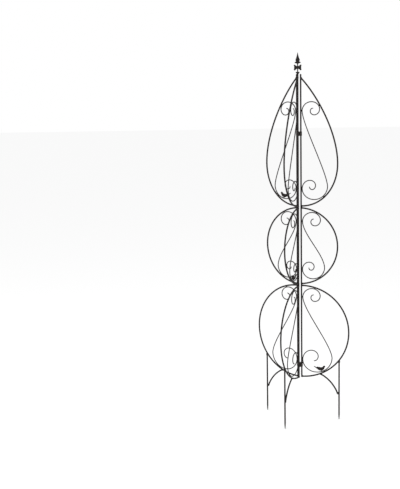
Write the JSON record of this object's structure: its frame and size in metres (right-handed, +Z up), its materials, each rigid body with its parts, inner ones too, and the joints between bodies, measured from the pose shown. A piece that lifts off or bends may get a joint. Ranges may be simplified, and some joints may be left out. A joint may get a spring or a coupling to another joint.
{
  "type": "garden obelisk",
  "caption": "Free-standing garden obelisk of flat rod-work wings that swivel in clips, with teardrop and round bows, scrolls, small birds, pointed legs and a spear finial.",
  "frame": {"origin": "centre of the object's footprint box, on the ground under the feet", "axes": "+Z up along the stiles; +X to the right and -Y towards the viewer, as it is shown"},
  "size_m": [0.4754, 0.3896, 1.897],
  "materials": {
    "rod": "satin near-black brown paint on round steel rod",
    "wire": "satin near-black brown paint on thin steel wire",
    "casting": "near-black brown paint over a slightly rough casting",
    "clip": "satin near-black brown paint on bent strip",
    "screw": "worn dark paint, slightly brighter than the strap"
  },
  "bodies": {
    "clips": {"upper_clip_strap": "clip", "upper_clip_core": "clip", "upper_clip_screw": "screw", "lower_clip_strap": "clip", "lower_clip_core": "clip", "lower_clip_screw": "screw"},
    "right_wing": {"right_stile": "rod", "right_teardrop_bow": "rod", "right_middle_bow": "rod", "right_lower_bow": "rod", "right_upper_scroll": "wire", "right_middle_scroll": "wire", "right_lower_scroll": "wire", "right_leg": "rod", "right_brace": "rod", "right_bird": "casting"},
    "near_wing": {"near_stile": "rod", "near_teardrop_bow": "rod", "near_middle_bow": "rod", "near_lower_bow": "rod", "near_upper_scroll": "wire", "near_middle_scroll": "wire", "near_lower_scroll": "wire", "near_leg": "rod", "near_brace": "rod", "near_bird": "casting", "finial_stem": "casting", "finial_stud": "screw", "finial_collar": "casting", "finial_spear": "casting"},
    "left_wing": {"left_stile": "rod", "left_teardrop_bow": "rod", "left_middle_bow": "rod", "left_lower_bow": "rod", "left_upper_scroll": "wire", "left_middle_scroll": "wire", "left_lower_scroll": "wire", "left_leg": "rod", "left_brace": "rod", "left_bird": "casting"}
  },
  "joints": [
    {"name": "right_wing_swivel", "type": "hinge", "parent": "clips", "child": "right_wing", "pos_m": [-0.00789, 0.05199, 0.886], "axis": [0, 0, 1], "range_deg": [-30, 80]},
    {"name": "near_wing_swivel", "type": "hinge", "parent": "clips", "child": "near_wing", "pos_m": [-0.02259, 0.0373, 0.886], "axis": [0, 0, 1], "range_deg": [-48.5, 61.5]},
    {"name": "left_wing_swivel", "type": "hinge", "parent": "clips", "child": "left_wing", "pos_m": [-0.02797, 0.05737, 0.886], "axis": [0, 0, 1], "range_deg": [-67, 43]}
  ]
}
